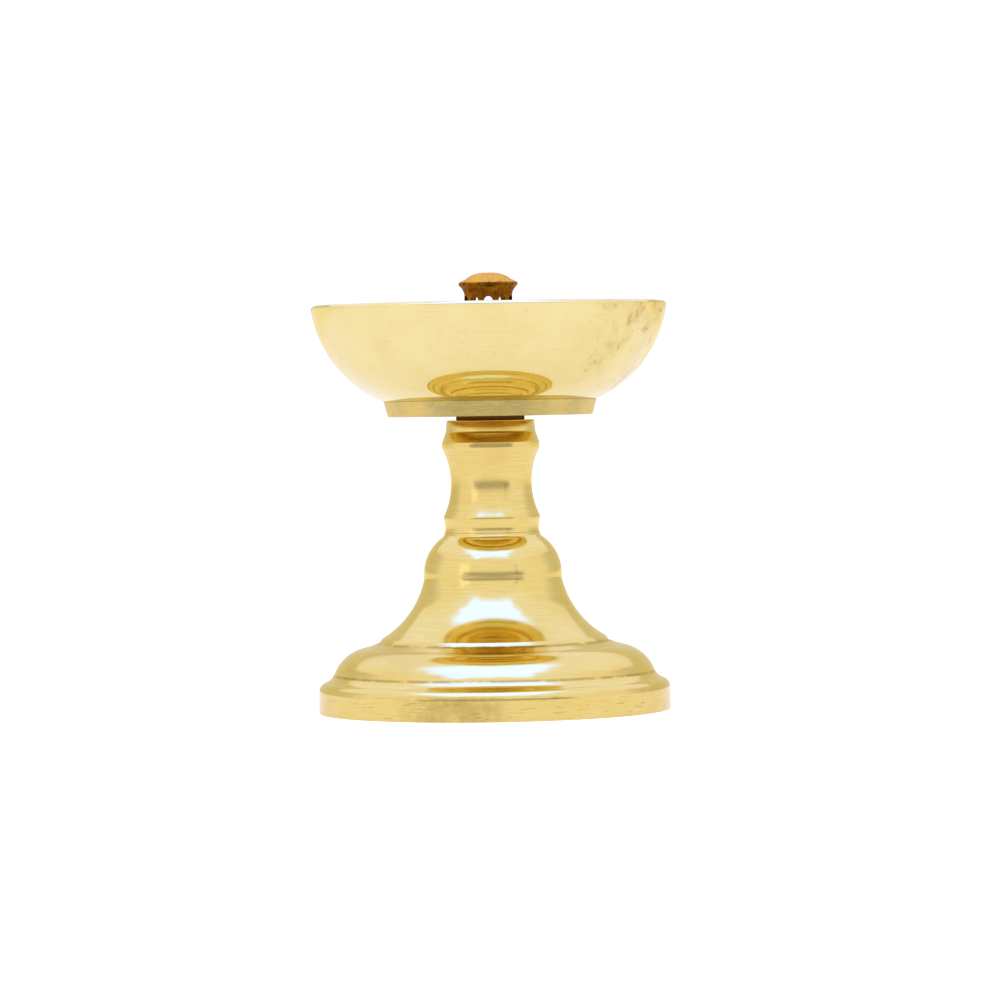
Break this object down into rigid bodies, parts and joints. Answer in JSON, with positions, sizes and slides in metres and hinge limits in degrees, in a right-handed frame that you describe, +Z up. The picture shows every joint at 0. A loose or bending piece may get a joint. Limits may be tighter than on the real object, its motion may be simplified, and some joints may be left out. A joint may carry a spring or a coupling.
{
  "type": "oil lamp",
  "caption": "Brass diya oil lamp: an open round bowl clamped on a turned baluster pedestal with a bell foot, and a windowed tube that holds the wick upright in the bowl.",
  "frame": {"origin": "centre of the foot's underside, on the table", "axes": "+Z up along the turning axis; the lamp is turned, so +X and +Y are free, with -Y taken as the front"},
  "size_m": [0.076, 0.076, 0.0938],
  "materials": {
    "pedestal_brass": "turned and polished, fine lathe lines",
    "bowl_brass": "polished, with faint scratches",
    "holder_brass": "as turned, darkened by heat",
    "plated_steel": "zinc plated",
    "brown_rubber": "matt, darkened by oil",
    "oiled_leather": "oiled"
  },
  "bodies": {
    "pedestal": {"bell_foot": "pedestal_brass", "stem": "pedestal_brass", "stem_washer": "plated_steel", "stem_nut": "plated_steel"},
    "seal": {"seal_washer": "brown_rubber"},
    "bowl_unit": {"bowl": "bowl_brass", "bowl_ring": "bowl_brass", "screw_gasket": "oiled_leather", "clamp_screw": "holder_brass"},
    "wick_unit": {"wick_tube": "holder_brass"}
  },
  "joints": [
    {"name": "bowl_turn", "type": "hinge", "parent": "pedestal", "child": "seal", "pos_m": [0, 0, 0.0623], "axis": [0, 0, 1], "range_deg": [0, 2159]},
    {"name": "bowl_rise", "type": "slide", "parent": "seal", "child": "bowl_unit", "axis": [0, 0, 1], "range_m": [0, 0.006]},
    {"name": "wick_lift", "type": "slide", "parent": "bowl_unit", "child": "wick_unit", "axis": [0, 0, 1], "range_m": [0, 0.03]}
  ],
  "couplings": [
    {"joint": "bowl_rise", "follows": "bowl_turn", "m_per_rad": 0.00015915}
  ]
}
